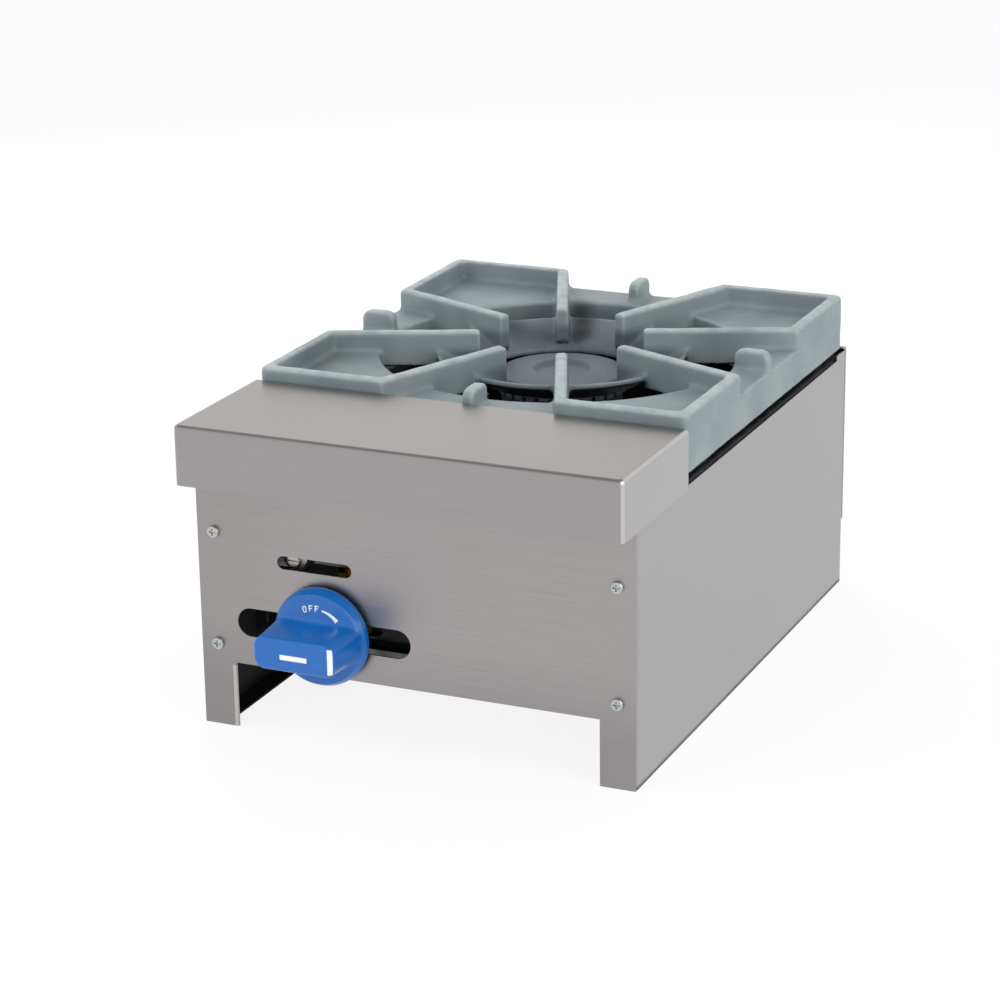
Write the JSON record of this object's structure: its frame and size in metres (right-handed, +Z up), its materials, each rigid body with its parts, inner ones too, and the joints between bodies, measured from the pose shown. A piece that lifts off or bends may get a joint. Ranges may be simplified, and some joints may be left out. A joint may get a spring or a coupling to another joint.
{
  "type": "countertop gas hotplate",
  "caption": "Countertop gas hotplate: open burner under a cast grate with radial ribs, front ledge, knob on a slotted front panel, rear gas inlet.",
  "frame": {"origin": "on the counter, in the middle of the body's footprint", "axes": "+X to the right seen from the front, +Y to the back, +Z up"},
  "size_m": [0.307, 0.503, 0.219],
  "materials": {
    "brushed_stainless": "brushed",
    "polished_stainless": "fine brushed",
    "aluminised_sheet": "matte",
    "black_steel": "matte black",
    "silver_paint": "matte",
    "zinc_screws": "zinc plated",
    "brass": "machined",
    "aluminium_tube": "drawn",
    "knob_plastic": "gloss",
    "grey_cast_iron": "painted casting"
  },
  "bodies": {
    "hotplate": {"left_side_panel": "brushed_stainless", "right_side_panel": "brushed_stainless", "front_panel": "brushed_stainless", "front_ledge": "polished_stainless", "rear_panel": "brushed_stainless", "heat_baffle": "black_steel", "left_grate_rail": "black_steel", "right_grate_rail": "black_steel", "left_tray_runner": "aluminised_sheet", "right_tray_runner": "aluminised_sheet", "burner_crossbar": "black_steel", "front_panel_screws": "zinc_screws", "rear_panel_screws": "zinc_screws", "ledge_screws": "zinc_screws", "manifold_bracket_screws": "zinc_screws", "manifold_pipe": "silver_paint", "manifold_end_cap": "silver_paint", "manifold_elbow": "silver_paint", "inlet_pipe": "black_steel", "left_manifold_bracket": "black_steel", "right_manifold_bracket": "black_steel", "valve_body": "brass", "valve_bonnet": "brass", "valve_bonnet_screws": "zinc_screws", "orifice_hood": "brass", "burner_casting": "grey_cast_iron", "burner_bolt": "zinc_screws", "pilot_valve_body": "brass", "pilot_tube": "aluminium_tube", "pilot_burner": "brass", "pilot_bracket": "zinc_screws"},
    "control": {"control_knob": "knob_plastic", "valve_stem": "brass", "valve_plug": "brass"},
    "shutter": {"air_shutter": "zinc_screws"},
    "pilot_screw": {"pilot_adjusting_screw": "brass"},
    "cap": {"burner_cap": "grey_cast_iron"},
    "grate": {"top_grate": "grey_cast_iron"},
    "tray": {"drip_tray": "aluminised_sheet"}
  },
  "joints": [
    {"name": "knob_turn", "type": "hinge", "parent": "hotplate", "child": "control", "pos_m": [-0.0615, -0.2095, 0.0745], "axis": [0, -1, 0], "range_deg": [0, 90]},
    {"name": "shutter_turn", "type": "hinge", "parent": "hotplate", "child": "shutter", "pos_m": [-0.0615, -0.1335, 0.0745], "axis": [0, -1, 0], "range_deg": [0, 90]},
    {"name": "pilot_screw_turn", "type": "hinge", "parent": "hotplate", "child": "pilot_screw", "pos_m": [-0.086, -0.19784, 0.119], "axis": [0, -1, 0], "range_deg": [-180, 180]},
    {"name": "cap_lift", "type": "slide", "parent": "hotplate", "child": "cap", "axis": [0, 0, 1], "range_m": [0, 0.06]},
    {"name": "grate_lift", "type": "slide", "parent": "hotplate", "child": "grate", "axis": [0, 0, 1], "range_m": [0, 0.08]},
    {"name": "tray_slide", "type": "slide", "parent": "hotplate", "child": "tray", "axis": [0, -1, 0], "range_m": [0, 0.33]}
  ]
}
